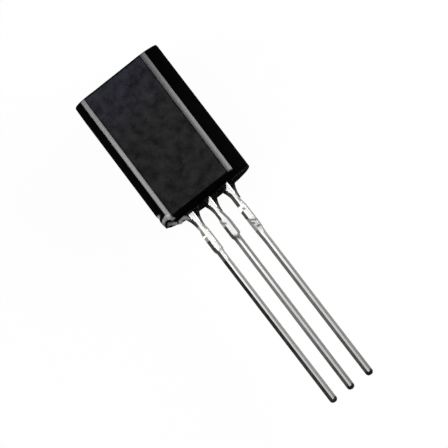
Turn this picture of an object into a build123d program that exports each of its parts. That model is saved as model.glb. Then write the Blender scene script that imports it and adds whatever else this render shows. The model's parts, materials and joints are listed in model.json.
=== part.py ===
"""Long-body TO-92 transistor: a moulded epoxy body with three tinned leads.

The part lies on its rounded back with the flat face up. X runs across the body, Y along it with the
leads pointing to -Y, and Z is the flat face's outward normal. The origin is on the surface that the
part lies on, under the middle of its box. All sizes are in millimetres, and angles in degrees.
"""

from build123d import *

import os
from math import radians, tan

# Moulded body
body_width = 5.95
body_depth = 4.9
body_length = 8.8
front_depth = 1.7
flat_width = 4.0
bevel_width = 0.33
bevel_depth = 0.206
front_draft = 8.0
rear_draft = 1.7
flat_edge_radius = 0.15
end_edge_radius = 0.06
parting_radius = 0.6

# Round land that the flat end of the mould's ejector pin leaves on the back
ejector_diameter = 1.6

# Notch and broken stub where the resin was fed in, at one corner of the lead end
gate_notch_radius = 0.28
gate_from_side = 0.44
gate_above_seat = 0.03
gate_stub_width = 0.62
gate_stub_turn = 30.0
gate_stub_thickness = 0.24
gate_stub_reach = 0.1

# Skirt of resin that creeps down both sides of each lead
skirt_length = 1.1
skirt_flare = 0.36
skirt_lip = 0.04
skirt_root = 0.3

# Leads, stamped from one strip
lead_pitch = 1.27
lead_width = 0.45
lead_thickness = 0.4
lead_length = 13.5
tip_radius = 0.15

# Shoulders left on each lead where the tie bar between the leads was cut out
shoulder_width = 0.6
shoulder_from_seat = 1.15
shoulder_taper = 0.7
shoulder_length = 1.55
shoulder_step = 0.12

# Lead frame inside the body: two bond posts and the pad that carries the die
post_width = 1.0
post_length = 1.1
post_outset = 0.15
post_from_seat = 1.7
pad_width = 2.8
pad_length = 2.6
pad_from_seat = 3.3
frame_corner_radius = 0.12

# Silicon die and the solder under it
die_size = 1.2
die_thickness = 0.22
solder_margin = 0.06
solder_thickness = 0.04

# Gold bond wires: a ball bond on the die, a low loop and a flattened bond on the post
wire_diameter = 0.05
loop_height = 0.45
loop_radius = 0.14
ball_diameter = 0.14
ball_height = 0.05
stitch_diameter = 0.16
stitch_height = 0.03
bond_from_die_edge = 0.3

# One overrun serves every cut and the ejector land's root in the body
overrun = 0.5

# Places that follow from the sizes above
overall_length = body_length + lead_length
top_y = overall_length / 2
seat_y = top_y - body_length
tip_y = -overall_length / 2
lead_z = body_depth - front_depth
lead_front_z = lead_z + lead_thickness / 2
die_z = lead_front_z + solder_thickness
die_top_z = die_z + die_thickness
post_y = seat_y + post_from_seat + post_length / 2
pad_y = seat_y + pad_from_seat + pad_length / 2
lead_plane = Plane.XY.offset(lead_z)
lead_rows = {"emitter": -1, "collector": 0, "base": 1}


# One lead from the body to its tip, drawn on the centre line, with the shoulders
with BuildSketch() as shank:
    straight, wide = lead_width / 2, shoulder_width / 2
    taper_y = seat_y - shoulder_from_seat
    cut_y = taper_y - shoulder_length
    with BuildLine():
        Polyline(
            (0, seat_y),
            (straight, seat_y),
            (straight, taper_y),
            (wide, taper_y - shoulder_taper),
            (wide, cut_y),
            (straight, cut_y - shoulder_step),
            (straight, tip_y),
            (0, tip_y),
        )
        mirror(about=Plane.YZ)
    make_face()
    fillet(shank.vertices().group_by(Axis.Y)[0], radius=tip_radius)

# The collector lead ends in the pad that carries the die
with BuildPart() as collector_lead:
    neck_height = pad_from_seat + pad_length / 2
    with BuildSketch(lead_plane):
        add(shank.sketch)
        with Locations((0, seat_y + neck_height / 2)):
            Rectangle(lead_width, neck_height)
        with Locations((0, pad_y)):
            RectangleRounded(pad_width, pad_length, frame_corner_radius)
    extrude(amount=lead_thickness / 2, both=True)


def make_side_lead(row):
    """An outer lead, which ends in a bond post below the die pad, set outwards from the lead."""
    lead_x = row * lead_pitch
    neck_height = post_from_seat + post_length / 2
    with BuildPart() as side_lead:
        with BuildSketch(lead_plane):
            with Locations((lead_x, 0)):
                add(shank.sketch)
            with Locations((lead_x, seat_y + neck_height / 2)):
                Rectangle(lead_width, neck_height)
            with Locations((lead_x + row * post_outset, post_y)):
                RectangleRounded(post_width, post_length, frame_corner_radius)
        extrude(amount=lead_thickness / 2, both=True)
    return side_lead


emitter_lead = make_side_lead(lead_rows["emitter"])
base_lead = make_side_lead(lead_rows["base"])

# Solder layer between the pad and the die
with BuildPart() as die_solder:
    with BuildSketch(Plane.XY.offset(lead_front_z)):
        with Locations((0, pad_y)):
            Rectangle(die_size + 2 * solder_margin, die_size + 2 * solder_margin)
    extrude(amount=solder_thickness)

with BuildPart() as silicon_die:
    with BuildSketch(Plane.XY.offset(die_z)):
        with Locations((0, pad_y)):
            Rectangle(die_size, die_size)
    extrude(amount=die_thickness)


def make_bond_wire(row):
    """A wire from the die's corner on one side to the post on that side, cut flush with the post."""
    bond_offset = die_size / 2 - bond_from_die_edge
    start = Vector(row * bond_offset, pad_y - bond_offset, die_top_z)
    end = Vector(row * (lead_pitch + post_outset), post_y, lead_front_z)
    run = Vector(end.X - start.X, end.Y - start.Y, 0)
    wire_plane = Plane(origin=start, x_dir=run, z_dir=run.cross(Vector(0, 0, 1)))
    drop = die_top_z - lead_front_z
    past_end = run.length + wire_diameter * run.length / (loop_height + drop)
    with BuildPart() as bond_wire:
        with BuildLine(wire_plane):
            path = FilletPolyline(
                (0, ball_height / 2),
                (0, loop_height),
                (past_end, -drop - wire_diameter),
                radius=loop_radius,
            )
        with BuildSketch(Plane(origin=path @ 0, z_dir=path % 0)):
            Circle(wire_diameter / 2)
        sweep()
        split(bisect_by=Plane.XY.offset(lead_front_z), keep=Keep.TOP)
        with BuildSketch(Plane(start)):
            Circle(ball_diameter / 2)
        extrude(amount=ball_height)
        with BuildSketch(Plane(end)):
            Circle(stitch_diameter / 2)
        extrude(amount=stitch_height)
    return bond_wire


emitter_wire = make_bond_wire(lead_rows["emitter"])
base_wire = make_bond_wire(lead_rows["base"])

inner_pieces = [
    collector_lead,
    emitter_lead,
    base_lead,
    die_solder,
    silicon_die,
    emitter_wire,
    base_wire,
]

with BuildPart() as moulded_body:
    # D-shaped section: the flat, a bevel on each side of it, and the round back
    corner = (flat_width / 2 + bevel_width, body_depth - bevel_depth)
    widest = (body_width / 2, body_width / 2)
    with BuildSketch(Plane.XZ.offset(-top_y)) as section:
        with BuildLine():
            Polyline((0, body_depth), (flat_width / 2, body_depth), corner)
            TangentArc(widest, corner, tangent=(0, 1))
            CenterArc((0, body_width / 2), body_width / 2, 270, 90)
            mirror(about=Plane.YZ)
        make_face()
        fillet(section.vertices().group_by(Axis.Y)[-2:], radius=flat_edge_radius)
    extrude(amount=body_length)

    # The end walls lean in from the parting plane, which lies in the middle of the leads
    front_inset = front_depth * tan(radians(front_draft))
    rear_inset = lead_z * tan(radians(rear_draft))
    with BuildSketch(Plane.YZ) as side_outline:
        with BuildLine():
            Polyline(
                (seat_y + rear_inset, 0),
                (seat_y, lead_z),
                (seat_y + front_inset, body_depth),
                (top_y - front_inset, body_depth),
                (top_y, lead_z),
                (top_y - rear_inset, 0),
                close=True,
            )
        make_face()
        fillet(side_outline.vertices().group_by(Axis.Y)[1], radius=parting_radius)
    extrude(amount=body_width / 2 + overrun, both=True, mode=Mode.INTERSECT)

    # Rounded rims where the end walls meet the flat, the bevels and the back
    flat_rims = moulded_body.edges().filter_by(Axis.X).group_by(Axis.Z)[-1]
    other_rims = moulded_body.edges().filter_by(Axis.X, reverse=True).filter_by(Axis.Y, reverse=True)
    fillet(flat_rims + other_rims, radius=end_edge_radius)

    # Flat land of the ejector pin in the middle of the back, level with the back's lowest line
    with BuildSketch():
        with Locations((0, (top_y + seat_y) / 2)):
            Circle(ejector_diameter / 2)
    extrude(amount=overrun)

    # Gate notch in the front half of one corner, with the broken stub behind it, turned to the leads
    gate_x = -body_width / 2 + gate_from_side
    with BuildSketch(lead_plane):
        with Locations((gate_x, seat_y + gate_above_seat)):
            Circle(gate_notch_radius)
    extrude(amount=front_depth + overrun, mode=Mode.SUBTRACT)
    with BuildSketch(lead_plane):
        with Locations((gate_x, seat_y)):
            Rectangle(gate_stub_width, 2 * gate_stub_reach, rotation=-gate_stub_turn)
    extrude(amount=-gate_stub_thickness)

    # Resin skirts, as thick as the leads that they follow
    with BuildSketch(lead_plane):
        with BuildLine():
            foot = (lead_width / 2 + skirt_lip, seat_y - skirt_length)
            flare = (lead_width / 2 + skirt_flare, seat_y)
            root = (lead_width / 2 + skirt_flare, seat_y + skirt_root)
            Polyline((0, foot[1]), foot)
            TangentArc(foot, flare, tangent=(0, 1))
            Polyline(flare, root, (0, root[1]))
            mirror(about=Plane.YZ)
        skirt = make_face()
        with Locations((-lead_pitch, 0), (lead_pitch, 0)):
            add(skirt)
    extrude(amount=lead_thickness / 2, both=True)

    # The resin fills all the space around the frame, the die and the wires
    for piece in inner_pieces:
        add(piece.part, mode=Mode.SUBTRACT)

nodes = {
    "moulded_body": moulded_body,
    "collector_lead": collector_lead,
    "emitter_lead": emitter_lead,
    "base_lead": base_lead,
    "die_solder": die_solder,
    "silicon_die": silicon_die,
    "emitter_wire": emitter_wire,
    "base_wire": base_wire,
}

os.makedirs("parts", exist_ok=True)
for name, node in nodes.items():
    node.part.label = name
    export_step(node.part, f"parts/{name}.step")
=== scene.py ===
"""The looks of a long-body TO-92 transistor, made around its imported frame.

The part lies on its round back with the flat face up and the leads towards -Y. Surfaces are worked out
in millimetres and put into the meshes in metres.
"""

import json
from math import asin, atan2, cos, pi, radians, sin, sqrt, tan

import bpy
import numpy as np
from mathutils import Matrix, Vector


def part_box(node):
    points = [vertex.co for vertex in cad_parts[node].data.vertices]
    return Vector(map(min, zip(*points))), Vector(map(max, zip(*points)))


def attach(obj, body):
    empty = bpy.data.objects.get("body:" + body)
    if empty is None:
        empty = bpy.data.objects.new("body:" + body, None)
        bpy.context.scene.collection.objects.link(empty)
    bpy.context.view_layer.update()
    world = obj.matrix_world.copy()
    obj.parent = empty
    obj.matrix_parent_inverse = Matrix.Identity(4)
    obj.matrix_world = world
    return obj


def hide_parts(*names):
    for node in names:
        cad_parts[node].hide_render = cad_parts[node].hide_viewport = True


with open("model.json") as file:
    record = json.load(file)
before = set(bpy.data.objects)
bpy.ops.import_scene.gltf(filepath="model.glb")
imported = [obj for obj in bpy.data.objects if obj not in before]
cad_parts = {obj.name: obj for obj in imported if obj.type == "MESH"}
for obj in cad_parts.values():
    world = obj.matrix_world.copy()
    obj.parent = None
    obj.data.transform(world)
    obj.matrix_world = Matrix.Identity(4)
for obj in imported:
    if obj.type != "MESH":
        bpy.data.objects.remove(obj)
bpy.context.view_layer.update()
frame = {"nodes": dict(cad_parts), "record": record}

MM = 0.001

# What the frame gives: the body's box and the row of leads
body_low, body_high = np.array(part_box("moulded_body")) / MM
lead_row = next(m for m in frame["record"]["mounts"] if m["name"] == "lead_row")
seat_y, lead_z = np.array(lead_row["pos_m"])[1:] / MM
lead_pitch = lead_row["dims"]["spacing_x_mm"]
lead_length = lead_row["dims"]["length_mm"]
tip_y = seat_y - lead_length
top_y = -tip_y
body_depth = body_high[2]
back_radius = (body_high[0] - body_low[0]) / 2

# Moulded body
flat_width = 4.0
bevel_width = 0.33
bevel_depth = 0.206
bevel_crown = 0.01
front_draft = 8.0
rear_draft = 1.7
ridge_round = 0.0015
corner_radius = 0.15
rim_radius = 0.06
side_rim_radius = 0.12
parting_step = 0.004
back_below = 2.4
back_drift = 1.6
land_radius = 0.8
land_edge = 0.04
flash_height = 0.008
flash_width = 0.03
drift_from = 4.0

# How far the mould is from true
side_pinch = 0.03
top_pinch = 0.02
top_drop = 0.014
bevel_lean = 0.042
corner_cut = 0.06

# Gate corner: the notch, its broken stub and the film of flash that runs to the first lead
notch_radius = 0.28
notch_x = -back_radius + 0.44
notch_y = seat_y + 0.03
notch_rim = 0.16
notch_rim_widens = 0.45
stub_width = 0.62
stub_turn = 30.0
stub_reach = 0.1
stub_thickness = 0.24
stub_shift = (0.05, 0.11)
stub_rise = 0.05
stub_corner = 0.05
film_x = -1.85
film_dip = 2.0
film_reach = 0.26
film_root = 0.1
film_overlap = 0.1
film_thickness = 0.04
film_corner = 0.015
nick_y = seat_y + 0.76
nick_z = lead_z + 0.4
nick_size = (0.12, 0.55)
nick_depth = 0.09
broken_corner = 0.055

# How grey the resin is: a painted highlight at the notch's rim and along the film, paler at the nick, the
# parting line's ridge and the skirts' right flanks, and the broken resin of the stub
rim_highlight_grey = 1.1
nick_grey = 1.45
ridge_grey = 0.45
stub_grey = 1.2
film_highlight_grey = 1.4
skirt_foot_grey = 0.45
skirt_seat_grey = 0.25

# Leads and the resin that creeps down them
lead_half = 0.225
lead_half_depth = 0.2
lead_corner = 0.17
tip_round = 0.2
tip_thinner = 0.05
bare_tip = 0.26
head_step = 0.02
shear_roughness = 0.006
mark_depth = 0.02
band_at_root = 0.1
skirt_length = 1.1
skirt_root = 0.3
skirt_lip = 0.02
skirt_flare = 0.42
skirt_thinner = 0.09
skirt_corner = 0.08
skirt_drift = 0.036


def ramp(value, start, width):
    """0 before start, 1 after start + width, and a smooth cubic step between them."""
    t = np.clip((value - start) / width, 0, 1)
    return t * t * (3 - 2 * t)


def spaced(*runs):
    """Positions along a line: each run is (start, end, count), and neighbouring runs share an end."""
    pieces = [np.linspace(start, end, count, endpoint=False) for start, end, count in runs]
    return np.concatenate(pieces + [[runs[-1][1]]])


def tube_faces(rows, columns):
    """Quads of a tube whose rings run anticlockwise seen from -Y and follow each other along +Y."""
    i, j = np.meshgrid(np.arange(columns), np.arange(rows - 1))
    here, beside = j * columns + i, j * columns + (i + 1) % columns
    quads = np.stack([here, here + columns, beside + columns, beside], axis=-1)
    return quads.reshape(-1, 4)


def closed_tube(rings):
    """A tube of rings with a middle point in each end: its points and faces."""
    rows, columns = rings.shape[:2]
    points = np.concatenate([rings.reshape(-1, 3), rings[0].mean(0)[None], rings[-1].mean(0)[None]])
    first = np.arange(columns)
    after = (first + 1) % columns
    pole = np.full(columns, rows * columns)
    last = (rows - 1) * columns
    faces = tube_faces(rows, columns).tolist()
    faces += np.stack([pole, first, after], axis=-1).tolist()
    faces += np.stack([pole + 1, after + last, first + last], axis=-1).tolist()
    return points, faces


def with_poles(values):
    """Ring values of a closed tube, with the mean of each end ring for its middle point."""
    return np.concatenate([values.reshape(-1), [values[0].mean(), values[-1].mean()]])


def make_piece(name, shells, materials, node):
    """One smooth mesh from closed shells. A shell holds points in mm, faces, the material number of
    each face, and point attributes by name."""
    points, faces, finish, marks = [], [], [], {}
    start = 0
    for shell in shells:
        points.append(shell["points"])
        faces += [[corner + start for corner in face] for face in shell["faces"]]
        finish.append(np.broadcast_to(shell["finish"], len(shell["faces"])))
        start += len(shell["points"])
        for key, values in shell["marks"].items():
            marks.setdefault(key, []).append(values)
    mesh = bpy.data.meshes.new(name)
    mesh.from_pydata((np.concatenate(points) * MM).tolist(), [], faces)
    for material in materials:
        mesh.materials.append(material)
    mesh.polygons.foreach_set("material_index", np.concatenate(finish).astype(np.int32))
    mesh.polygons.foreach_set("use_smooth", np.ones(len(faces), bool))
    for key, values in marks.items():
        attribute = mesh.attributes.new(key, "FLOAT", "POINT")
        attribute.data.foreach_set("value", np.concatenate(values).astype(np.float32))
    mesh.update()
    piece = bpy.data.objects.new(name, mesh)
    bpy.context.scene.collection.objects.link(piece)
    piece.modifiers.new("face_weighted_normals", "WEIGHTED_NORMAL")
    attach(piece, "root")
    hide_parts(node)


# Materials


def srgb(code):
    """Linear RGBA of an sRGB hex colour."""
    channels = np.array([int(code[i : i + 2], 16) for i in (1, 3, 5)]) / 255
    linear = np.where(channels <= 0.04045, channels / 12.92, ((channels + 0.055) / 1.055) ** 2.4)
    return (*linear, 1.0)


def add_node(tree, kind, inputs=None, **settings):
    """One node with its settings. An input that is given a socket is linked, and any other is set."""
    node = tree.nodes.new("ShaderNode" + kind)
    for key, value in settings.items():
        setattr(node, key, value)
    for key, value in (inputs or {}).items():
        if isinstance(value, bpy.types.NodeSocket):
            tree.links.new(value, node.inputs[key])
        else:
            node.inputs[key].default_value = value
    return node


def new_material(name):
    """An empty material and its node tree."""
    material = bpy.data.materials.new(name)
    material.use_nodes = True
    material.node_tree.nodes.clear()
    return material, material.node_tree


def per_mm(size):
    """Texture scale, in waves a metre, for a feature of that size in millimetres."""
    return 1 / (size * MM)


def moulded_epoxy(name, tones, roughness, drift, specular, grain_height):
    """Black epoxy moulding compound, transfer moulded in a steel mould. The resin skin is nearly black,
    with a grain as fine as the mould's texture and cloudy flow marks. Its tones are deep, pale and far:
    the pale one turns to the far one, and the first roughness to the second, along the drift, which is
    an axis with a start and an end in mm. Points with a grey mark turn towards the grey silica filler:
    scuffs and broken resin, and painted highlights."""
    deep, pale, far = tones
    axis, drift_start, drift_end = drift
    material, tree = new_material(name)
    place = add_node(tree, "TexCoord").outputs["Object"]
    grain = add_node(tree, "TexNoise", {"Vector": place, "Scale": per_mm(0.09), "Detail": 4.0})
    cloud = add_node(tree, "TexNoise", {"Vector": place, "Scale": per_mm(0.6), "Detail": 5.0})
    flow = add_node(
        tree, "Mix", {0: 0.35, 2: cloud.outputs[0], 3: grain.outputs[0]}, data_type="FLOAT"
    )
    blend = add_node(tree, "MapRange", {"Value": flow.outputs[0], "From Min": 0.36, "From Max": 0.64})
    along = add_node(tree, "SeparateXYZ", {"Vector": place})
    turned = add_node(
        tree,
        "MapRange",
        {
            "Value": along.outputs[axis],
            "From Min": drift_start * MM,
            "From Max": drift_end * MM,
        },
        interpolation_type="SMOOTHSTEP",
    )
    light = add_node(tree, "Mix", {0: turned.outputs[0], 6: srgb(pale), 7: srgb(far)}, data_type="RGBA")
    skin = add_node(
        tree, "Mix", {0: blend.outputs[0], 6: srgb(deep), 7: light.outputs[2]}, data_type="RGBA"
    )
    scuff = add_node(tree, "Attribute", attribute_name="scuff")
    bitten = add_node(
        tree,
        "Math",
        {0: scuff.outputs["Fac"], 1: grain.outputs[0], 2: -0.12},
        operation="MULTIPLY_ADD",
    )
    greyed = add_node(
        tree,
        "Mix",
        {0: bitten.outputs[0], 6: skin.outputs[2], 7: srgb("#c4c4c2")},
        data_type="RGBA",
    )
    dulled = add_node(
        tree, "Mix", {0: turned.outputs[0], 2: roughness[0], 3: roughness[1]}, data_type="FLOAT"
    )
    rough = add_node(
        tree,
        "Math",
        {0: grain.outputs[0], 1: 0.16, 2: dulled.outputs[0]},
        operation="MULTIPLY_ADD",
    )
    relief = add_node(
        tree,
        "Bump",
        {"Height": grain.outputs[0], "Distance": grain_height * MM, "Strength": 1.0},
    )
    shader = add_node(
        tree,
        "BsdfPrincipled",
        {
            "Base Color": greyed.outputs[2],
            "Roughness": rough.outputs[0],
            "Normal": relief.outputs[0],
            "IOR": 1.55,
            "Specular IOR Level": specular,
        },
    )
    add_node(tree, "OutputMaterial", {"Surface": shader.outputs[0]})
    return material


def tin_plating(name):
    """Matt tin plated on copper alloy strip. It is pale and soft in its shine, with fine streaks along
    the lead. The cut attribute turns it dark grey: at the cut marks as dull metal, and towards the tip as
    painted shade."""
    material, tree = new_material(name)
    place = add_node(tree, "TexCoord").outputs["Object"]
    along = add_node(tree, "Mapping", {"Vector": place, "Scale": (1.0, 0.06, 1.0)})
    streak = add_node(
        tree, "TexNoise", {"Vector": along.outputs[0], "Scale": per_mm(0.05), "Detail": 4.0}
    )
    bloom = add_node(tree, "TexNoise", {"Vector": place, "Scale": per_mm(0.35), "Detail": 3.0})
    bright = add_node(
        tree,
        "Mix",
        {0: streak.outputs[0], 6: srgb("#d4d4d1"), 7: srgb("#f2f2f0")},
        data_type="RGBA",
    )
    cut = add_node(tree, "Attribute", attribute_name="cut")
    colour = add_node(
        tree,
        "Mix",
        {0: cut.outputs["Fac"], 6: bright.outputs[2], 7: srgb("#181818")},
        data_type="RGBA",
    )
    rough = add_node(
        tree, "MapRange", {"Value": bloom.outputs[0], "To Min": 0.26, "To Max": 0.46}
    )
    relief = add_node(
        tree, "Bump", {"Height": streak.outputs[0], "Distance": 0.004 * MM, "Strength": 1.0}
    )
    shader = add_node(
        tree,
        "BsdfPrincipled",
        {
            "Base Color": colour.outputs[2],
            "Metallic": 1.0,
            "Roughness": rough.outputs[0],
            "Normal": relief.outputs[0],
        },
    )
    add_node(tree, "OutputMaterial", {"Surface": shader.outputs[0]})
    return material


def copper_side_and_painted_shade(name):
    """Sides of the leads, their cut end and their root: dull copper alloy with fine shear lines along the
    lead, from grey to nearly black by the tarnish attribute. Along the edges and at the cut end the dark
    is painted shade, and at the root it is the resin's edge."""
    material, tree = new_material(name)
    place = add_node(tree, "TexCoord").outputs["Object"]
    along = add_node(tree, "Mapping", {"Vector": place, "Scale": (1.0, 0.08, 1.0)})
    streak = add_node(
        tree, "TexNoise", {"Vector": along.outputs[0], "Scale": per_mm(0.06), "Detail": 3.0}
    )
    patch = add_node(tree, "TexNoise", {"Vector": place, "Scale": per_mm(0.5), "Detail": 2.0})
    tarnish = add_node(tree, "Attribute", attribute_name="tarnish")
    shift = add_node(tree, "MapRange", {"Value": patch.outputs[0], "To Min": -0.12, "To Max": 0.12})
    amount = add_node(tree, "Math", {0: tarnish.outputs["Fac"], 1: shift.outputs[0]}, operation="ADD")
    colour = add_node(
        tree,
        "Mix",
        {0: amount.outputs[0], 6: srgb("#9a9a98"), 7: srgb("#080808")},
        data_type="RGBA",
    )
    rough = add_node(
        tree, "MapRange", {"Value": streak.outputs[0], "To Min": 0.5, "To Max": 0.7}
    )
    relief = add_node(
        tree, "Bump", {"Height": streak.outputs[0], "Distance": 0.003 * MM, "Strength": 1.0}
    )
    shader = add_node(
        tree,
        "BsdfPrincipled",
        {
            "Base Color": colour.outputs[2],
            "Roughness": rough.outputs[0],
            "Normal": relief.outputs[0],
            "Specular IOR Level": 0.1,
        },
    )
    add_node(tree, "OutputMaterial", {"Surface": shader.outputs[0]})
    return material


def inner_metal(name, deep, pale, metallic, roughness, grain):
    """A finish for the pieces sealed in the resin: an even colour with a fine grain."""
    material, tree = new_material(name)
    place = add_node(tree, "TexCoord").outputs["Object"]
    mottle = add_node(tree, "TexNoise", {"Vector": place, "Scale": per_mm(grain), "Detail": 3.0})
    colour = add_node(
        tree, "Mix", {0: mottle.outputs[0], 6: srgb(deep), 7: srgb(pale)}, data_type="RGBA"
    )
    rough = add_node(
        tree,
        "MapRange",
        {"Value": mottle.outputs[0], "To Min": roughness - 0.06, "To Max": roughness + 0.06},
    )
    shader = add_node(
        tree,
        "BsdfPrincipled",
        {"Base Color": colour.outputs[2], "Metallic": metallic, "Roughness": rough.outputs[0]},
    )
    add_node(tree, "OutputMaterial", {"Surface": shader.outputs[0]})
    return material


# The front flat and the top end are matt from spark-eroded steel, with painted highlight making the flat
# paler and bluer towards the top. The bevels are smoother, with painted shade making them darker towards
# the top. The sides are painted nearly black as shade, and the back turns from dull and dark to paler with
# a soft sheen.
to_top = ("Y", seat_y + drift_from, top_y)
to_back = ("Z", back_below, back_below - back_drift)
# The flat's colour turns paler and bluer towards the top: painted highlight
front_skin = moulded_epoxy(
    "matt_front_epoxy",
    tones=("#030303", "#242424", "#292934"),
    roughness=(0.6, 0.6),
    drift=to_top,
    specular=0.1,
    grain_height=0.006,
)
# The bevels' colour turns darker towards the top: painted shade
bevel_skin = moulded_epoxy(
    "satin_bevel_epoxy",
    tones=("#121212", "#232324", "#1c1c1e"),
    roughness=(0.22, 0.3),
    drift=to_top,
    specular=0.52,
    grain_height=0.002,
)
back_skin = moulded_epoxy(
    "plain_back_epoxy",
    tones=("#040404", "#090909", "#1c1c1d"),
    roughness=(0.9, 0.4),
    drift=to_back,
    specular=0.16,
    grain_height=0.003,
)
# The sides are painted nearly black as shade, with almost no gloss
painted_shade_side_skin = moulded_epoxy(
    "dull_side_epoxy",
    tones=("#030303", "#060606", "#030303"),
    roughness=(0.72, 0.72),
    drift=to_top,
    specular=0.001,
    grain_height=0.003,
)
tin = tin_plating("tin_plated_strip")
copper_side_shade = copper_side_and_painted_shade("sheared_copper_side")

# Material numbers on the body, in the order of body_skins
BACK, BEVEL, FRONT, SIDE = range(4)
body_skins = [back_skin, bevel_skin, front_skin, painted_shade_side_skin]


# Moulded body


def section_half():
    """Right half of the D section from the middle of the back to the flat's edge.

    The back is an arc about the middle of the width. The side is an arc that leaves it upright and meets
    the bevel's corner. Both corners of the bevel are rounded: each is an arc about the corner of the
    section moved in by the corner radius. Between them the bevel is crowned by a shallow parabola.
    Returns x, z, the angle of the outward normal and the finish of each step to the next point.
    """
    bevel_angle = atan2(bevel_width, bevel_depth)
    corner_x, corner_z = flat_width / 2 + bevel_width, body_depth - bevel_depth
    dx, dz = back_radius - corner_x, corner_z - back_radius
    side_radius = (dx * dx + dz * dz) / (2 * dx)
    side_x = back_radius - side_radius
    nx, nz = cos(bevel_angle), sin(bevel_angle)

    # Middles of the two corner arcs, on the bevel's line moved in by the corner radius
    inward = (flat_width / 2 - side_x) * nx + (body_depth - back_radius) * nz - corner_radius
    reach = sqrt((side_radius - corner_radius) ** 2 - inward**2)
    outer_x = side_x + inward * nx + reach * nz
    outer_z = back_radius + inward * nz - reach * nx
    inner_x = flat_width / 2 - corner_radius * (1 - nz) / nx
    inner_z = body_depth - corner_radius
    turn = atan2(outer_z - back_radius, outer_x - side_x)
    parting = asin((lead_z - back_radius) / side_radius)
    step = parting_step / side_radius

    back = np.radians(spaced((-90, -71, 24), (-71, 0, 28)))[:-1]
    side = np.concatenate(
        [spaced((0, parting - step, 3)), spaced((parting + step, turn, 30))]
    )[:-1]
    outer = spaced((turn, bevel_angle, 6))
    inner = spaced((bevel_angle, pi / 2, 6))
    across = np.linspace(0, 1, 7)[1:-1]
    bevel = np.full(len(across), bevel_angle)
    crown = bevel_crown * (1 - (2 * across - 1) ** 2)

    start_x, start_z = outer_x + corner_radius * nx, outer_z + corner_radius * nz
    end_x, end_z = inner_x + corner_radius * nx, inner_z + corner_radius * nz
    x = np.concatenate(
        [
            back_radius * np.cos(back),
            side_x + side_radius * np.cos(side),
            outer_x + corner_radius * np.cos(outer),
            start_x + (end_x - start_x) * across + nx * crown,
            inner_x + corner_radius * np.cos(inner),
        ]
    )
    z = np.concatenate(
        [
            back_radius + back_radius * np.sin(back),
            back_radius + side_radius * np.sin(side),
            outer_z + corner_radius * np.sin(outer),
            start_z + (end_z - start_z) * across + nz * crown,
            inner_z + corner_radius * np.sin(inner),
        ]
    )
    angle = np.concatenate([back, side, outer, bevel, inner])

    # The last steps before the flat take the sides' painted shade as a dark line, so that its edge shows
    finish = np.where(z < back_below, BACK, SIDE)
    satin_from = len(back) + len(side) + len(outer) - 1
    matt_from = satin_from + len(across) + 1
    finish[satin_from:matt_from] = BEVEL
    finish[matt_from:] = FRONT
    finish[-3:] = SIDE
    return x, z, angle, finish


def end_inset(z):
    """How far the drafted end walls lie in from the parting line at height z, its ridge rounded off."""
    slope = np.where(z > lead_z, tan(radians(front_draft)), tan(radians(rear_draft)))
    return np.hypot((z - lead_z) * slope, ridge_round)


def lean_sides(points):
    """The mould isn't quite true. The left half narrows in proportion to x, a little more towards the
    top, the right bevel comes in towards the leads, the lead end's left corner is rounded off, and the
    top end is lower on the right."""
    x, y, z = points.T
    height = (y - seat_y) / (top_y - seat_y)
    left = np.clip(-x / back_radius, 0, None)
    bevel = ramp(x, 1.0, 0.9) * ramp(z, 4.0, 0.6)
    corner = ramp(-x, 2.5, 0.4) * (1 - ramp(y, seat_y, 0.6))
    at_top = ramp(height, 0.9, 0.1)
    moved = points.copy()
    moved[:, 0] += left * (side_pinch * height + top_pinch * at_top) + corner_cut * corner
    moved[:, 0] -= bevel_lean * bevel * (1 - height)
    moved[:, 1] -= top_drop * at_top * ramp(x, -2.2, 1.2)
    return moved


def cut_notch(points):
    """The gate notch: above the parting line, points before the notch's arc move along Y to the arc, and
    points near its rim drop by the height of a quarter round. Below the line the corner is broken off a
    little, and a nick dents the side by a bell in Y and Z. Returns the points and how grey each is: the
    rim and the top of the wall are grey as a painted highlight, the nick and the ridge of the parting line
    are paler, and the foot of the wall stays black."""
    x, y, z = points.T
    beside = x - notch_x
    chord = np.clip(notch_radius**2 - beside**2, 0, None)
    ahead = notch_y + np.sqrt(chord) - y
    above = z > lead_z
    moved = points.copy()
    moved[:, 1] += np.where(above & (chord > 0), np.clip(ahead, 0, None), 0)
    broken = ramp(-x, -notch_x - 0.35, 0.4) * (1 - ramp(y, seat_y, 0.6)) * ~above
    moved[:, 1] += broken_corner * broken
    past = np.clip(moved[:, 1] - notch_y, 0, None)
    outside = np.hypot(beside, past) - notch_radius
    rim = notch_rim * (1 + notch_rim_widens * ramp(beside, 0.0, 0.25))
    near = rim - np.clip(outside, 0, rim)
    high = ramp(z, lead_z + 0.3, 0.8)
    moved[:, 2] -= high * (rim - np.sqrt(rim**2 - near**2))

    # The painted highlight runs out level on the outer side, and reaches lower there
    from_arc = np.hypot(np.where(beside < 0, beside / 2, beside), past) - notch_radius
    foot = lead_z + 0.5 - 0.35 * ramp(-beside, 0.22, 0.1)
    greyed = rim_highlight_grey * (1 - ramp(from_arc, rim - 0.04, 0.08)) * ramp(z, foot, 0.5)
    along, up = (y - nick_y) / nick_size[0], (z - nick_z) / nick_size[1]
    nick = np.exp(-(along**2) - up**2) * (x < notch_x)
    moved[:, 0] += nick_depth * nick
    ridge = ridge_grey * np.exp(-(((z - lead_z) / 0.09) ** 2)) * (y < seat_y + 0.03)
    return moved, np.maximum(np.maximum(greyed, nick_grey * nick), ridge)


def film_highlight_band(x, y):
    """How pale the painted highlight on the film of flash is: a band along a parabola that dips from the
    gate to the first lead.
    """
    middle = seat_y - 0.03 - film_dip * (x - film_x) ** 2
    width = np.where(y < middle, 0.22, 0.13)
    return film_highlight_grey * np.exp(-(((y - middle) / width) ** 2))


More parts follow.
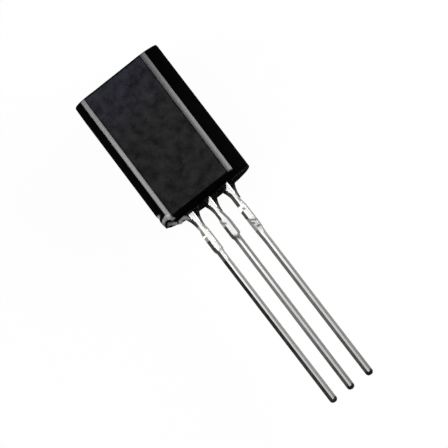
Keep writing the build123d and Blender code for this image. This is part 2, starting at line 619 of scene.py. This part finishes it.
def press_land(points):
    """The ejector pin's land: inside its circle the underside drops to the level of the lowest line."""
    x, y, z = points.T
    from_middle = np.hypot(x, y - (top_y + seat_y) / 2)
    inside = 1 - ramp(from_middle, land_radius - land_edge, 2 * land_edge)
    moved = points.copy()
    moved[:, 2] *= np.where(z < back_radius / 2, 1 - inside, 1)
    return moved


def body_shell():
    """The body's skin: the D section carried along Y, with its rims rounded into the drafted ends, and a
    grid over each end whose rows join the section's two sides at one height."""
    half_x, half_z, half_angle, half_finish = section_half()
    last = len(half_x) - 1
    share = spaced((1, -0.55, 26), (-0.55, -0.7, 6), (-0.7, -1, 20))
    columns = len(share) - 1
    inner = share[1:-1]
    x = np.concatenate([half_x, half_x[last] * inner, -half_x[:0:-1]])
    z = np.concatenate([half_z, np.full(len(inner), body_depth), half_z[:0:-1]])
    nx = np.concatenate([np.cos(half_angle), np.zeros(len(inner)), -np.cos(half_angle)[:0:-1]])
    nz = np.concatenate([np.sin(half_angle), np.ones(len(inner)), np.sin(half_angle)[:0:-1]])

    # The satin of the right bevel runs one step on round both its corners
    satin = np.flatnonzero(half_finish == BEVEL)
    right_finish = half_finish.copy()
    right_finish[satin[0] - 1 : satin[-1] + 2] = BEVEL
    ring_finish = np.concatenate([right_finish[:-1], np.full(columns, FRONT), half_finish[-2::-1]])

    # A fine flash line stands proud where the mould's halves met
    flash = flash_height * np.exp(-(((z - lead_z) / flash_width) ** 2))
    x = x + nx * flash

    # Rows from the lead end to the top: a rounded rim, the straight side and a rounded rim
    turn = np.linspace(0, pi / 2, 7)
    middle = (top_y + seat_y) / 2
    along = spaced(
        (seat_y, seat_y + 0.5, 18),
        (seat_y + 0.5, seat_y + 1.1, 16),
        (seat_y + 1.1, middle - 1, 12),
        (middle - 1, middle + 1, 40),
        (middle + 1, top_y - 0.1, 16),
        (top_y - 0.1, top_y, 3),
    )
    along = (along - seat_y)[1:-1] / (top_y - seat_y)
    inset = np.concatenate([1 - np.sin(turn), np.zeros(len(along)), (1 - np.sin(turn))[::-1]])
    rise = np.concatenate([1 - np.cos(turn), np.ones(len(along)), (1 - np.cos(turn))[::-1]])
    fraction = np.concatenate([np.zeros(len(turn)), along, np.ones(len(turn))])
    rim = rim_radius + (side_rim_radius - rim_radius) * np.clip(-nx, 0, None) ** 4
    inset = inset[:, None] * rim
    rise = rise[:, None] * rim
    ring_x = x - nx * inset
    ring_z = z - nz * inset
    low = seat_y + end_inset(ring_z) + rise
    high = top_y - end_inset(ring_z) - rise
    ring_y = low + (high - low) * fraction[:, None]
    rings = np.stack([ring_x, ring_y, ring_z], axis=-1)
    rows, count = rings.shape[:2]

    # End grids: inner points only, because their edges are the first and the last ring
    grid_x = ring_x[0, 1:last, None] * share[::-1][1:-1]
    grid_z = np.broadcast_to(ring_z[0, 1:last, None], grid_x.shape)
    lead_end = np.stack([grid_x, seat_y + end_inset(grid_z), grid_z], axis=-1)
    top_end = np.stack([grid_x, top_y - end_inset(grid_z), grid_z], axis=-1)
    points = np.concatenate([part.reshape(-1, 3) for part in (rings, lead_end, top_end)])

    faces = tube_faces(rows, count).tolist()
    row_finish = np.tile(ring_finish, (rows - 1, 1))
    # The rims at both ends of the flat take the sides' painted shade, a dark line along its edges
    rims = np.r_[0 : len(turn) // 2, rows - len(turn) - 1 : rows - 1]
    row_finish[rims] = np.where(ring_finish == FRONT, SIDE, ring_finish)
    finish = [row_finish.reshape(-1)]
    # The lead end takes the sides' painted shade, and the top end the matt front skin
    for ring_start, grid_start, facing, skin in (
        (0, rows * count, 1, SIDE),
        ((rows - 1) * count, rows * count + lead_end.size // 3, -1, FRONT),
    ):
        index = np.zeros((last + 1, columns + 1), int)
        index[1:last, 1:-1] = grid_start + np.arange(lead_end.size // 3).reshape(last - 1, -1)
        index[:, -1] = ring_start + np.arange(last + 1)
        index[:, 0] = ring_start + (count - np.arange(last + 1)) % count
        index[last] = ring_start + last + np.arange(columns, -1, -1)
        index[0] = ring_start
        quads = np.stack([index[:-1, :-1], index[:-1, 1:], index[1:, 1:], index[1:, :-1]], axis=-1)
        cap = [row[::facing] for row in quads[1:].reshape(-1, 4).tolist()]
        cap += [row[::facing] for row in quads[0][:, [0, 2, 3]].tolist()]
        faces += cap
        finish.append(np.full(len(cap), skin))

    points, scuff = cut_notch(lean_sides(points))
    return {
        "points": press_land(points),
        "faces": faces,
        "finish": np.concatenate(finish),
        "marks": {"scuff": scuff},
    }


def round_bar(y, left, right, half_depth, corner, middle_x, middle_z):
    """A bar along Y with a rounded rectangle for its section. left and right are the distances of its
    sides from middle_x at each y. Returns the rings, and the x and z of the normal round a ring."""
    arc = np.linspace(0, pi / 2, 7)
    flat = np.linspace(1, -1, 13)[1:-1]
    still = np.ones(len(flat))
    across, upward, angle = [], [], []
    for k, (side, face) in enumerate(((1, 1), (-1, 1), (-1, -1), (1, -1))):
        flat_x, flat_z = (flat, still) if k % 2 == 0 else (still, flat)
        across += [np.full(len(arc), side), side * flat_x]
        upward += [np.full(len(arc), face), face * flat_z]
        angle += [arc + k * pi / 2, np.full(len(flat), (k + 1) * pi / 2)]
    across, upward, angle = (np.concatenate(runs) for runs in (across, upward, angle))
    normal_x, normal_z = np.cos(angle), np.sin(angle)
    half = ((left + right) / 2)[:, None]
    shift = ((right - left) / 2)[:, None]
    depth = np.broadcast_to(half_depth, y.shape)[:, None]
    bend = np.minimum(corner, np.minimum(half, depth) * 0.95)
    x = middle_x + shift + across * (half - bend) + normal_x * bend
    z = middle_z + upward * (depth - bend) + normal_z * bend
    rings = np.stack([x, np.broadcast_to(y[:, None], x.shape), z], axis=-1)
    return rings, normal_x, normal_z


def skirt_shell(row):
    """A collar of resin round a lead: an arc flares its sides from the foot up to the body."""
    y = spaced((seat_y - skirt_length, seat_y, 30), (seat_y, seat_y + skirt_root, 4))
    spread = skirt_flare - skirt_lip
    arc_radius = (spread**2 + skirt_length**2) / (2 * spread)
    climb = np.minimum(y - (seat_y - skirt_length), skirt_length)
    side = lead_half + skirt_lip + arc_radius - np.sqrt(arc_radius**2 - climb**2)
    thin = lead_half_depth - skirt_thinner
    middle_x = row * lead_pitch + skirt_drift * (row + 2) / 3
    rings, normal_x, normal_z = round_bar(y, side, side, thin, skirt_corner, middle_x, lead_z)
    points, faces = closed_tube(rings)

    # The right flank is paler, most at its foot, and the first skirt takes up the film's band of painted
    # highlight
    to_seat = ramp(rings[:, :, 1], seat_y - 0.7, 0.4)
    paler_flank = skirt_foot_grey + (skirt_seat_grey - skirt_foot_grey) * to_seat
    film = (row < 0) * film_highlight_band(rings[:, :, 0], rings[:, :, 1]) * (normal_z > -0.5)
    scuff = np.maximum(film, paler_flank * (normal_x > 0))
    marks = {"scuff": with_poles(scuff)}
    return {"points": points, "faces": faces, "finish": SIDE, "marks": marks}


def stub_shell():
    """The broken stub of the gate: a short rough bar just behind the parting line, turned to the leads."""
    along = np.linspace(-stub_width / 2, stub_width / 2, 24)
    side = stub_reach * (1 + 0.1 * np.sin(31 * along))
    middle_z = lead_z + stub_rise - stub_thickness / 2
    rings = round_bar(along, side, side, stub_thickness / 2, stub_corner, 0, middle_z)[0]
    turn_cos, turn_sin = cos(radians(stub_turn)), sin(radians(stub_turn))
    across, along, z = np.moveaxis(rings[::-1], -1, 0)
    x = notch_x + stub_shift[0] + turn_cos * along + turn_sin * across
    y = seat_y + stub_shift[1] - turn_sin * along + turn_cos * across
    points, faces = closed_tube(np.stack([x, y, z], axis=-1))
    marks = {"scuff": np.full(len(points), stub_grey)}
    return {"points": points, "faces": faces, "finish": SIDE, "marks": marks}


def film_shell():
    """A thin film of flash that crept out along the parting line, from the stub to the first skirt. Its
    free edge is a wave, and it carries a pale band of painted highlight."""
    right_x = -lead_pitch - lead_half - skirt_lip
    left_x = notch_x + stub_width / 2 - film_overlap
    along = np.linspace(left_x, right_x, 40)
    reach = film_reach * (0.8 + 0.2 * np.sin(9 * (along - left_x) - 0.6))
    reach = reach * (0.7 + 0.3 * ramp(along, left_x, 0.35))
    root = np.full(len(along), film_root)
    rings = round_bar(along, root, reach, film_thickness / 2, film_corner, 0, 0)[0]
    turned = np.stack([rings[..., 1], seat_y - rings[..., 0], lead_z + rings[..., 2]], axis=-1)
    points, faces = closed_tube(turned[::-1])
    marks = {"scuff": film_highlight_band(points[:, 0], points[:, 1])}
    return {"points": points, "faces": faces, "finish": SIDE, "marks": marks}


skirts = [skirt_shell(row) for row in (-1, 0, 1)]
make_piece(
    "moulded_epoxy_body",
    [body_shell(), *skirts, stub_shell(), film_shell()],
    body_skins,
    "moulded_body",
)


# Leads

# How each lead was cut, how its tin wore and where shade is painted on it, in mm from the seat. left and
# right are its shoulders: how far that side stands out, where it starts, the length of its slope, where it
# ends, and the length of that slope. lean is the lead's slope to the right, and its bow in the middle.
# root is where the resin's edge crosses the middle of the lead, and its slope. band is the width of the
# dark band of painted shade along the left edge, at the neck and below it. In the band, a pale stretch has
# its start, length and tarnish, and a gap, a bright break in the painted shade, its start and length.
# clean is how much later the right corner turns dark with painted shade on the shoulder. rubbed is a dull
# stretch
# of tin: strength, start and end. tarnish is the painted shade of the left side at its ends and in its
# middle, and of the right side at the root and at the tip. A mark is a shear line: place, slope, half
# thickness, strength, and its two ends across the lead in half widths.
lead_cuts = {
    "emitter_lead": {
        "row": -1,
        "head_length": 1.1,
        "lean": (0.0043, 0.0),
        "left": (0.07, 1.2, 0.5, 2.62, 0.3),
        "right": (0.06, 0.95, 0.5, 2.7, 0.25),
        "root": (0.12, 0.0),
        "tarnish": (0.93, 0.97, 0.03, 0.28),
        "clean": 0.14,
        "rubbed": (0.0, 1.3, 2.5),
        "band": (0.163, 0.22),
        "pale": [(1.0, 0.32, 0.1), (1.32, 0.3, 0.4), (1.72, 0.28, 0.12), (2.65, 0.8, 0.86)],
        "gaps": [(1.62, 0.1)],
        "marks": [(2.83, -0.5, 0.06, 0.5, -0.2, 1.2)],
    },
    "collector_lead": {
        "row": 0,
        "head_length": 2.6,
        "lean": (0.0003, 0.0),
        "left": (0.06, 1.42, 0.15, 2.66, 0.2),
        "right": (0.11, 0.9, 0.9, 2.62, 0.15),
        "root": (0.21, -1.1),
        "tarnish": (0.87, 0.55, 0.4, 0.39),
        "clean": -0.03,
        "rubbed": (0.12, 1.3, 2.5),
        "band": (0.175, 0.195),
        "pale": [(1.5, 0.43, 0.05)],
        "gaps": [],
        "marks": [
            (1.81, 0.68, 0.08, 0.85, -1.7, 0.1),
            (2.78, 0.7, 0.17, 0.9, -1.2, 0.9),
            (2.95, -0.9, 0.1, 0.95, 0.2, 1.8),
        ],
    },
    "base_lead": {
        "row": 1,
        "head_length": 1.1,
        "lean": (0.0033, -0.004),
        "left": (0.04, 1.5, 0.15, 2.9, 1.2),
        "right": (0.06, 1.2, 0.5, 2.9, 0.7),
        "root": (0.19, -1.55),
        "tarnish": (0.86, 0.68, 0.05, 0.42),
        "clean": 0.18,
        "rubbed": (0.36, 2.35, 3.1),
        "band": (0.215, 0.195),
        "pale": [(2.37, 0.83, 0.25)],
        "gaps": [(1.54, 0.3)],
        "marks": [
            (1.77, 0.3, 0.06, 0.8, -0.2, 0.5),
            (2.55, 0.69, 0.08, 0.85, -1.1, 1.3),
            (2.78, 0.78, 0.07, 1.0, -1.1, 0.2),
            (3.03, 0.1, 0.08, 0.9, 0.0, 1.1),
            (3.03, 0.1, 0.08, 0.6, -1.1, 0.1),
        ],
    },
}


def lead_outline(node, cuts, middle_x):
    """Rows of a lead along Y from its tip to its head in the resin, and its reach to the left, to the
    right and in depth at each. Smooth steps make the head and the shoulders of the cut tie bar, a product
    of two waves roughens the shoulders, and a quarter round ends the tip."""
    low, high = np.array(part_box(node)) / MM
    head_y = high[1] - cuts["head_length"]
    y = spaced(
        (tip_y, tip_y + tip_round, 10),
        (tip_y + tip_round, seat_y - 3.6, 80),
        (seat_y - 3.6, seat_y - 1.2, 100),
        (seat_y - 1.2, seat_y, 40),
        (seat_y, head_y - head_step, 10),
        (head_y - head_step, head_y + head_step, 4),
        (head_y + head_step, high[1], 8),
    )
    down = seat_y - y
    in_head = ramp(y, head_y - head_step, 2 * head_step)
    tip = np.clip(1 - (y - tip_y) / tip_round, 0, 1)
    drop = 1 - np.sqrt(1 - tip**2)
    sides = []
    for key, head_reach, wobble in (("left", middle_x - low[0], 3.1), ("right", high[0] - middle_x, 1.7)):
        bulge, start, taper, end, fall = cuts[key]
        shoulder = bulge * ramp(down, start, taper) * (1 - ramp(down, end, fall))
        waves = np.sin(17 * down + wobble) * np.sin(41 * down)
        rough_cut = shear_roughness * waves * (shoulder > bulge / 2)
        sides.append(
            lead_half + shoulder + rough_cut + (head_reach - lead_half) * in_head - tip_round * drop
        )
    return y, *sides, lead_half_depth - tip_thinner * drop


def shear_marks(cuts, below, share, normal_z):
    """How dark the shear lines on the front are: a bell over the distance from each slanting line."""
    marked = np.zeros(share.shape)
    for place, slope, thickness, strength, first, last in cuts["marks"]:
        off = below - place - slope * lead_half * share
        inside = ramp(share, first - 0.1, 0.2) * (1 - ramp(share, last - 0.1, 0.2))
        line = strength * np.exp(-((off / thickness) ** 2)) * inside
        marked = np.maximum(marked, line * (normal_z > 0.3))
    return marked


def tip_shade_and_rubbing(cuts, below):
    """How dark the tin is: painted shade darkens it in two smooth steps towards the tip, and it is dull
    where it was rubbed.
    """
    rubbed, start, end = cuts["rubbed"]
    dull = 0.38 * ramp(below, 4.0, 4.5) + 0.1 * ramp(below, 9.0, 4.0)
    return dull + rubbed * ramp(below, start, 0.4) * (1 - ramp(below, end, 0.4))


def bare_faces(cuts, below, share, left, normal_x):
    """Faces that take the dark side material: a band of painted shade along the left edge that widens in
    two smooth steps, the right corner from the angle where painted shade starts, the resin's edge at the
    root and the cut end."""
    facing = (normal_x + np.roll(normal_x, -1)) / 2
    face_below = (below[:-1] + below[1:]) / 2
    face_share = (share[:-1] + share[1:]) / 2
    from_left = lead_half * share + left[:, None]
    from_left = (from_left + np.roll(from_left, -1, axis=1)) / 2
    from_left = (from_left[:-1] + from_left[1:]) / 2
    neck, band = cuts["band"]
    left_band = band_at_root + (neck - band_at_root) * ramp(face_below, 0.35, 0.4)
    left_band = left_band + (band - neck) * ramp(face_below, 1.2, 0.5)
    gap = np.zeros(face_below.shape, bool)
    for start, length in cuts["gaps"]:
        gap |= (face_below > start) & (face_below < start + length)

    # The x of the normal from which the right corner takes painted shade: it falls from the root to the
    # tip
    on_shoulder = ramp(face_below, 1.3, 0.4) * (1 - ramp(face_below, 2.7, 0.9))
    right_from = 0.95 - 0.58 * ramp(face_below, 0.3, 0.8) - 0.07 * ramp(face_below, 4.0, 7.0)
    right_from = right_from + cuts["clean"] * on_shoulder

    root_at, root_slope = cuts["root"]
    root = face_below < root_at + root_slope * lead_half * face_share
    cut_end = face_below > lead_length - bare_tip
    return ((from_left < left_band) & ~gap) | (facing > right_from) | root | cut_end


def lead_edge_shade(cuts, below, normal_x, marked):
    """How dark the painted shade on the lead's sides is. The left side turns by smooth steps from the tone
    of its ends to that of its middle, with the pale stretches set into it, and the right side from its
    root to its tip. The root is black at the resin's edge, the cut end is black with painted shade, and
    shear marks darken the metal too."""
    left_ends, left_middle, right_root, right_tip = cuts["tarnish"]
    middle = ramp(below, 2.6, 0.9) * (1 - ramp(below, 8.0, 5.0))
    left_edge_shade = left_ends + (left_middle - left_ends) * middle
    for start, length, tone in cuts["pale"]:
        stretch = ramp(below, start - 0.05, 0.1) * (1 - ramp(below, start + length - 0.05, 0.1))
        left_edge_shade = left_edge_shade + (tone - left_edge_shade) * stretch
    right_edge_shade = right_root + (right_tip - right_root) * ramp(below, 1.5, 5.0)
    right_edge_shade += 0.12 * (1 - ramp(below, 0.9, 0.6)) + 0.12 * ramp(below, 11.0, 2.5)
    tarnish = np.where(normal_x < 0.1, left_edge_shade, right_edge_shade)
    root_at = cuts["root"][0]
    black = np.maximum(1 - ramp(below, root_at + 0.25, 0.1), ramp(below, lead_length - 0.3, 0.1))
    return np.maximum(np.maximum(tarnish, black), 0.55 * marked)


def lead_shell(node, cuts):
    """A stamped lead: a rounded bar along its outline, with its marks pressed in, that leans in proportion
    to the distance from the body and bows by half a sine wave."""
    middle_x = cuts["row"] * lead_pitch
    y, left, right, depth = lead_outline(node, cuts, middle_x)
    rings, normal_x, normal_z = round_bar(y, left, right, depth, lead_corner, middle_x, lead_z)
    share = (rings[:, :, 0] - middle_x) / lead_half
    below = (seat_y - y)[:, None]
    marked = shear_marks(cuts, below, share, normal_z)
    # The cut attribute holds the shear marks, the rubbed stretches, and painted shade that darkens the tin
    # towards the tip
    cut = np.maximum(marked, tip_shade_and_rubbing(cuts, below))
    # Faces of the dark side material: painted shade along the lead's edges and on its cut end, and the
    # resin's edge at the root
    bare = bare_faces(cuts, below, share, left, normal_x)
    tarnish = lead_edge_shade(cuts, below, normal_x, marked)

    lean, bow = cuts["lean"]
    outside = np.clip(below, 0, None)
    rings[:, :, 0] += lean * outside + bow * np.sin(pi * outside / lead_length)
    rings[:, :, 2] -= mark_depth * marked
    points, faces = closed_tube(rings)
    ends = np.ones(2 * rings.shape[1], bool)
    return {
        "points": points,
        "faces": faces,
        "finish": np.concatenate([bare.reshape(-1), ends]).astype(int),
        "marks": {"tarnish": with_poles(tarnish), "cut": with_poles(cut)},
    }


for node, cuts in lead_cuts.items():
    make_piece("tinned_" + node, [lead_shell(node, cuts)], [tin, copper_side_shade], node)


# Pieces sealed in the resin keep their own solids

inner_finishes = {
    "die_solder": inner_metal(
        "soft_solder", "#8e8e8c", "#b4b4b1", metallic=1.0, roughness=0.42, grain=0.12
    ),
    "silicon_die": inner_metal(
        "polished_silicon", "#3a3d45", "#4c5059", metallic=0.0, roughness=0.2, grain=0.3
    ),
    "emitter_wire": inner_metal(
        "drawn_gold", "#d6a94a", "#e8c060", metallic=1.0, roughness=0.25, grain=0.02
    ),
}
inner_finishes["base_wire"] = inner_finishes["emitter_wire"]
for node, material in inner_finishes.items():
    mesh = frame["nodes"][node].data
    mesh.materials.clear()
    mesh.materials.append(material)


# Camera: above the flat, tilted towards the leads and a little to the right, with a long lens

view_tilt_side = 5.79
view_tilt_leads = 7.16
lead_angle = 52.71
view_point = (-0.137, 0.604, 3.2)
view_width = 25.3
lens = 180.0
sensor = 36.0

towards = Vector((tan(radians(view_tilt_side)), -tan(radians(view_tilt_leads)), 1)).normalized()
down_leads = Vector((0, -1, 0))
down_leads = (down_leads - down_leads.dot(towards) * towards).normalized()
beside = towards.cross(down_leads)
turn_cos, turn_sin = cos(radians(lead_angle)), sin(radians(lead_angle))
image_right = turn_cos * down_leads + turn_sin * beside
image_up = -turn_sin * down_leads + turn_cos * beside
camera_data = bpy.data.cameras.new("camera")
camera_data.lens = lens
camera_data.sensor_width = sensor
camera_data.clip_start = 0.001
camera = bpy.data.objects.new("camera", camera_data)
bpy.context.scene.collection.objects.link(camera)
distance = view_width * lens / sensor
place = (Vector(view_point) + towards * distance) * MM
turned = Matrix((image_right, image_up, towards)).transposed().to_4x4()
camera.matrix_world = Matrix.Translation(place) @ turned
bpy.context.scene.camera = camera


# Floor, world and lamps


def white_ground():
    """A plain white sweep. It shows its own white to the camera and in gloss, with a share of the light
    and shadow that falls on it."""
    material, tree = new_material("white_ground")
    path = add_node(tree, "LightPath")
    direct = add_node(
        tree,
        "Math",
        {0: path.outputs["Is Camera Ray"], 1: path.outputs["Is Glossy Ray"]},
        operation="MAXIMUM",
    )
    seen = add_node(
        tree,
        "Math",
        {0: direct.outputs[0], 1: path.outputs["Is Transmission Ray"]},
        operation="MAXIMUM",
    )
    part = add_node(tree, "Math", {0: seen.outputs[0], 1: 0.95}, operation="MULTIPLY")
    paper = add_node(tree, "BsdfDiffuse", {"Color": srgb("#f4f4f4")})
    glow = add_node(tree, "Emission", {"Color": srgb("#ffffff"), "Strength": 1.0})
    mixed = add_node(tree, "MixShader", {0: part.outputs[0], 1: paper.outputs[0], 2: glow.outputs[0]})
    add_node(tree, "OutputMaterial", {"Surface": mixed.outputs[0]})
    return material


ground_reach = 1.5
ground_mesh = bpy.data.meshes.new("ground")
corners = [(-1, -1, 0), (1, -1, 0), (1, 1, 0), (-1, 1, 0)]
ground_mesh.from_pydata((np.array(corners) * ground_reach).tolist(), [], [(0, 1, 2, 3)])
ground_mesh.materials.append(white_ground())
ground = bpy.data.objects.new("ground", ground_mesh)
bpy.context.scene.collection.objects.link(ground)

world = bpy.data.worlds.new("studio")
bpy.context.scene.world = world
world.use_nodes = True
world.node_tree.nodes.clear()
path = add_node(world.node_tree, "LightPath")
room = add_node(
    world.node_tree,
    "Mix",
    {0: path.outputs["Is Camera Ray"], 6: srgb("#707070"), 7: srgb("#ffffff")},
    data_type="RGBA",
)
sky = add_node(world.node_tree, "Background", {"Color": room.outputs[2], "Strength": 1.0})
add_node(world.node_tree, "OutputWorld", {"Surface": sky.outputs[0]})


def softbox(name, aim, direction, distance, width, length, radiance):
    """A soft rectangular lamp that faces the part, its length as near to Y as it can be. Sizes are in
    mm, and its power is pi times its radiance times its area."""
    back = Vector(direction).normalized()
    across = Vector((0, 1, 0)).cross(back).normalized()
    upward = back.cross(across)
    lamp = bpy.data.lights.new(name, "AREA")
    lamp.shape = "RECTANGLE"
    lamp.size = width * MM
    lamp.size_y = length * MM
    lamp.energy = pi * radiance * width * length * MM * MM
    box = bpy.data.objects.new(name, lamp)
    bpy.context.scene.collection.objects.link(box)
    spot = (Vector(aim) + back * distance) * MM
    box.matrix_world = Matrix.Translation(spot) @ Matrix((across, upward, back)).transposed().to_4x4()
    box.visible_camera = False


softbox(
    "top_softbox", (0, 2, 3), (-0.1, 0.17, 0.98), distance=400, width=480, length=480, radiance=1.25
)
softbox(
    "left_strip", (0, 2, 3), (-0.93, 0.125, 0.343), distance=250, width=90, length=190, radiance=8.6
)
softbox(
    "right_strip", (0, -14, 3), (0.9, 0.125, 0.42), distance=60, width=24, length=62, radiance=7.2
)

bpy.context.scene.view_settings.view_transform = "Standard"
